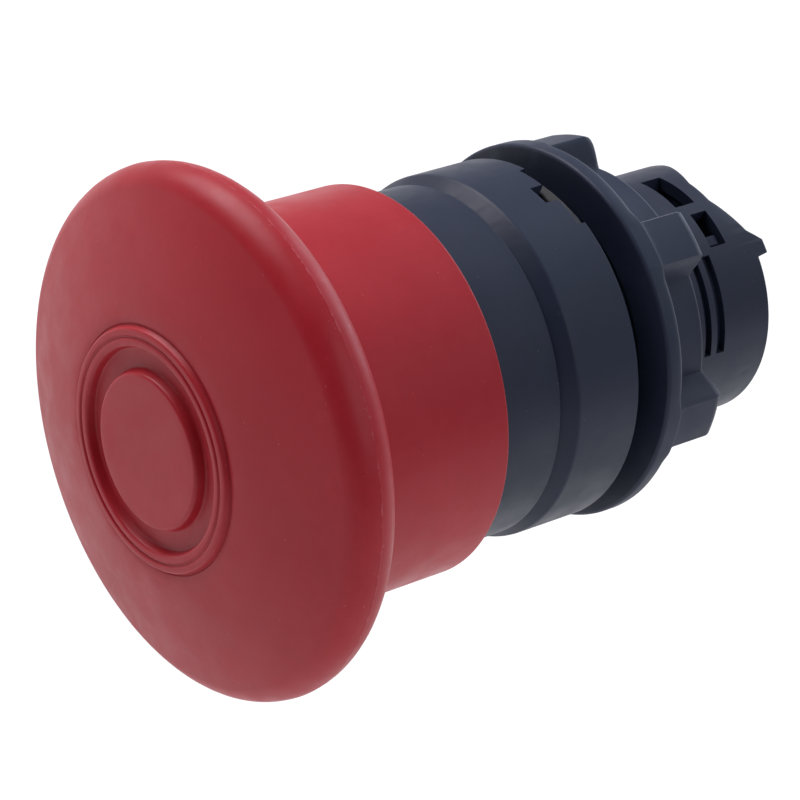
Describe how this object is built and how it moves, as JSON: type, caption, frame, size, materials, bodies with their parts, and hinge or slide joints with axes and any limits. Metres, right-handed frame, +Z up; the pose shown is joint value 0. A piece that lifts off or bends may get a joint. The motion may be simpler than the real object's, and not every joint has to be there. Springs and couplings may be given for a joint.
{
  "type": "emergency stop button",
  "caption": "Push-pull latching mushroom operator for a round panel hole, with a red domed cap, a black bezel ring, a lobed fixing nut and a rear barrel for a contact block.",
  "frame": {"origin": "on the button's axis, in the plane of the panel's front surface, where the gasket seats", "axes": "+Y along the axis into the panel, so the cap faces -Y; +Z up, through the locating key at the top; +X to the right as seen from the front"},
  "size_m": [0.04, 0.0531, 0.04],
  "materials": {
    "red_plastic": "satin moulded red plastic with a fine spark texture",
    "black_plastic": "satin moulded black plastic",
    "bezel_plastic": "satin moulded blue-black plastic",
    "nut_plastic": "satin moulded blue-black plastic",
    "black_rubber": "matt nitrile rubber",
    "natural_acetal": "natural white acetal, slightly waxy",
    "grey_acetal": "grey acetal, slightly waxy",
    "zinc_steel": "bright zinc-plated steel",
    "spring_steel": "drawn stainless spring wire"
  },
  "bodies": {
    "body": {"operator_body": "black_plastic", "bezel_ring": "bezel_plastic", "panel_gasket": "black_rubber", "skirt_seal": "black_rubber", "plunger_oring": "black_rubber", "spring_seat": "zinc_steel", "latch_carrier": "natural_acetal", "rear_bush": "black_plastic", "return_spring": "spring_steel", "latch_spring_right": "spring_steel", "latch_spring_left": "spring_steel"},
    "cap": {"mushroom_cap": "red_plastic", "plunger": "natural_acetal", "cap_screw": "zinc_steel", "screw_washer": "zinc_steel", "stop_ring": "spring_steel", "plunger_collar": "natural_acetal", "trigger_spring": "spring_steel"},
    "pusher": {"contact_pusher": "grey_acetal"},
    "latch_right": {"latch_pin_right": "zinc_steel"},
    "latch_left": {"latch_pin_left": "zinc_steel"},
    "nut": {"fixing_nut": "nut_plastic"}
  },
  "joints": [
    {"name": "cap_slide", "type": "slide", "parent": "body", "child": "cap", "axis": [0, 1, 0], "range_m": [0, 0.005], "deforming": ["return_spring", "trigger_spring", "latch_spring_right", "latch_spring_left"]},
    {"name": "pusher_slide", "type": "slide", "parent": "body", "child": "pusher", "axis": [0, 1, 0], "range_m": [0, 0.0043]},
    {"name": "latch_right_slide", "type": "slide", "parent": "body", "child": "latch_right", "axis": [-1, 0, 0], "range_m": [0, 0.0015]},
    {"name": "latch_left_slide", "type": "slide", "parent": "body", "child": "latch_left", "axis": [1, 0, 0], "range_m": [0, 0.0015]},
    {"name": "nut_turn", "type": "hinge", "parent": "body", "child": "nut", "pos_m": [0, 0, 0], "axis": [0, 1, 0], "continuous": true}
  ],
  "couplings": [
    {"joint": "pusher_slide", "follows": "cap_slide", "ratio": 0.86},
    {"joint": "latch_right_slide", "follows": "cap_slide", "ratio": 0.3},
    {"joint": "latch_left_slide", "follows": "cap_slide", "ratio": 0.3}
  ]
}
